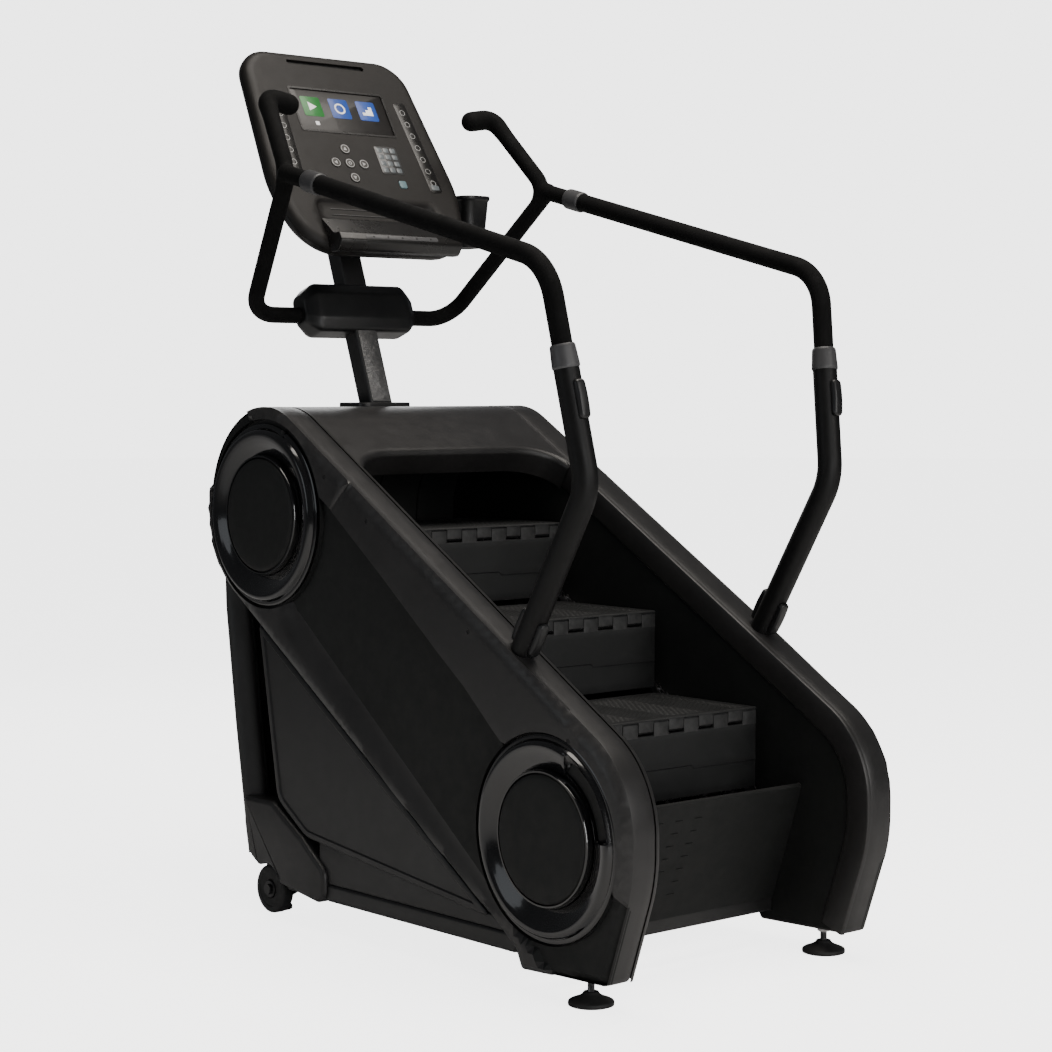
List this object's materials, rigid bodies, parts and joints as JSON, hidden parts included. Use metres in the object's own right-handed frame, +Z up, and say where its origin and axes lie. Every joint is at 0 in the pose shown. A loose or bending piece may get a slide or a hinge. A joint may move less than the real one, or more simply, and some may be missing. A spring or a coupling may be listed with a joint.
{
  "type": "stair climber",
  "caption": "Gym stair climber with a revolving staircase between side casings, hand rails, handlebar, mast and console.",
  "frame": {"origin": "on the floor, under the middle of the machine's bounding box", "axes": "+X to the user's right, +Y the way the user faces on the stairs, +Z up"},
  "size_m": [0.897, 1.6868, 2.2005],
  "materials": {
    "frame": "satin black powder coat",
    "casing": "dark grey moulded plastic with a fine grain",
    "panel": "near-black moulded plastic, satin",
    "ring": "gloss black",
    "tread": "dark grey moulded plastic, ribbed",
    "steel": "machined steel",
    "alloy": "cast aluminium",
    "tube": "semi-matt black powder coat",
    "grip": "soft black foam grip",
    "collar": "mid grey moulded plastic",
    "console": "warm dark grey moulded plastic",
    "screen": "glossy screen glass with lit tiles",
    "keys": "dark key caps with pale line marks",
    "membrane": "translucent grey key membrane",
    "rubber": "black rubber"
  },
  "bodies": {
    "machine": {"base_frame": "frame", "crossmembers": "frame", "side_plates": "frame", "side_liners": "panel", "shaft_bearings": "alloy", "alternator": "alloy", "drive_belt": "rubber", "front_casings": "casing", "upper_casings": "casing", "casing_screws": "frame", "side_panels": "panel", "disc_rings": "ring", "disc_caps": "panel", "rear_hood": "casing", "hood_liner": "panel", "kick_plate": "panel", "rear_cover": "panel", "rear_columns": "panel", "foot_covers": "panel", "wheel_axles": "steel", "mast": "tube", "mast_cover": "panel", "crossbar_housing": "panel", "handlebar": "grip", "hand_rails": "tube", "rail_sleeves": "tube", "rail_grips": "grip", "rail_collars": "collar", "rail_clamps": "panel", "console_back": "panel", "console_bezel": "console", "display": "screen", "key_membranes": "membrane", "bottle_holder": "panel"},
    "stair_run": {"tread_1": "tread", "tread_2": "tread", "tread_3": "tread", "step_pins": "steel", "upper_chains": "steel"},
    "riser_1": {"riser_1": "tread"},
    "riser_2": {"riser_2": "tread"},
    "riser_3": {"riser_3": "tread"},
    "return_run": {"return_steps": "tread", "return_chains": "steel"},
    "top_shaft": {"top_shaft": "steel", "drive_pulley": "alloy"},
    "bottom_shaft": {"bottom_shaft": "steel"},
    "alternator_rotor": {"alternator_pulley": "alloy"},
    "wheel_left": {"wheel_left": "rubber"},
    "wheel_right": {"wheel_right": "rubber"},
    "front_foot_left": {"front_foot_left": "rubber"},
    "front_foot_right": {"front_foot_right": "rubber"},
    "rear_foot_left": {"rear_foot_left": "rubber"},
    "rear_foot_right": {"rear_foot_right": "rubber"},
    "nav_key_select": {"nav_key_select": "keys"},
    "nav_key_up": {"nav_key_up": "keys"},
    "nav_key_down": {"nav_key_down": "keys"},
    "nav_key_left": {"nav_key_left": "keys"},
    "nav_key_right": {"nav_key_right": "keys"},
    "stop_key": {"stop_key": "keys"}
  },
  "joints": [
    {"name": "stair_travel", "type": "slide", "parent": "machine", "child": "stair_run", "axis": [0, -0.8612, -0.5082], "range_m": [-0.09, 0.11]},
    {"name": "riser_1_fold", "type": "hinge", "parent": "stair_run", "child": "riser_1", "pos_m": [0, -0.495, 0.542], "axis": [1, 0, 0], "range_deg": [0, 60]},
    {"name": "riser_2_fold", "type": "hinge", "parent": "stair_run", "child": "riser_2", "pos_m": [0, -0.151, 0.745], "axis": [1, 0, 0], "range_deg": [0, 60]},
    {"name": "riser_3_fold", "type": "hinge", "parent": "stair_run", "child": "riser_3", "pos_m": [0, 0.193, 0.948], "axis": [1, 0, 0], "range_deg": [0, 60]},
    {"name": "return_travel", "type": "slide", "parent": "machine", "child": "return_run", "axis": [0, 0.8612, 0.5082], "range_m": [-0.09, 0.11]},
    {"name": "top_shaft_turn", "type": "hinge", "parent": "machine", "child": "top_shaft", "pos_m": [0, 0.52684, 0.85837], "axis": [1, 0, 0], "range_deg": [-53.23, 64.94]},
    {"name": "bottom_shaft_turn", "type": "hinge", "parent": "machine", "child": "bottom_shaft", "pos_m": [0, -0.41255, 0.30402], "axis": [1, 0, 0], "range_deg": [-53.23, 64.94]},
    {"name": "alternator_turn", "type": "hinge", "parent": "machine", "child": "alternator_rotor", "pos_m": [0, 0.22885, 0.67033], "axis": [1, 0, 0], "range_deg": [-123.53, 150.86]},
    {"name": "wheel_left_roll", "type": "hinge", "parent": "machine", "child": "wheel_left", "pos_m": [-0.3795, 0.48, 0.068], "axis": [1, 0, 0], "continuous": true},
    {"name": "wheel_right_roll", "type": "hinge", "parent": "machine", "child": "wheel_right", "pos_m": [0.3795, 0.48, 0.068], "axis": [1, 0, 0], "continuous": true},
    {"name": "front_foot_left_level", "type": "slide", "parent": "machine", "child": "front_foot_left", "axis": [0, 0, -1], "range_m": [-0.01, 0.015]},
    {"name": "front_foot_right_level", "type": "slide", "parent": "machine", "child": "front_foot_right", "axis": [0, 0, -1], "range_m": [-0.01, 0.015]},
    {"name": "rear_foot_left_level", "type": "slide", "parent": "machine", "child": "rear_foot_left", "axis": [0, 0, -1], "range_m": [-0.01, 0.015]},
    {"name": "rear_foot_right_level", "type": "slide", "parent": "machine", "child": "rear_foot_right", "axis": [0, 0, -1], "range_m": [-0.01, 0.015]},
    {"name": "nav_key_select_press", "type": "slide", "parent": "machine", "child": "nav_key_select", "axis": [0, 0.8634, -0.5045], "range_m": [0, 0.0015], "stiffness_N_per_m": 900, "springref_m": -0.0012},
    {"name": "nav_key_up_press", "type": "slide", "parent": "machine", "child": "nav_key_up", "axis": [0, 0.8634, -0.5045], "range_m": [0, 0.0015], "stiffness_N_per_m": 900, "springref_m": -0.0012},
    {"name": "nav_key_down_press", "type": "slide", "parent": "machine", "child": "nav_key_down", "axis": [0, 0.8634, -0.5045], "range_m": [0, 0.0015], "stiffness_N_per_m": 900, "springref_m": -0.0012},
    {"name": "nav_key_left_press", "type": "slide", "parent": "machine", "child": "nav_key_left", "axis": [0, 0.8634, -0.5045], "range_m": [0, 0.0015], "stiffness_N_per_m": 900, "springref_m": -0.0012},
    {"name": "nav_key_right_press", "type": "slide", "parent": "machine", "child": "nav_key_right", "axis": [0, 0.8634, -0.5045], "range_m": [0, 0.0015], "stiffness_N_per_m": 900, "springref_m": -0.0012},
    {"name": "stop_key_press", "type": "slide", "parent": "machine", "child": "stop_key", "axis": [0, 0.8634, -0.5045], "range_m": [0, 0.0015], "stiffness_N_per_m": 900, "springref_m": -0.0012}
  ],
  "couplings": [
    {"joint": "return_travel", "follows": "stair_travel", "ratio": 1},
    {"joint": "top_shaft_turn", "follows": "stair_travel", "rad_per_m": 10.225},
    {"joint": "bottom_shaft_turn", "follows": "stair_travel", "rad_per_m": 10.225},
    {"joint": "alternator_turn", "follows": "stair_travel", "rad_per_m": 23.858}
  ]
}
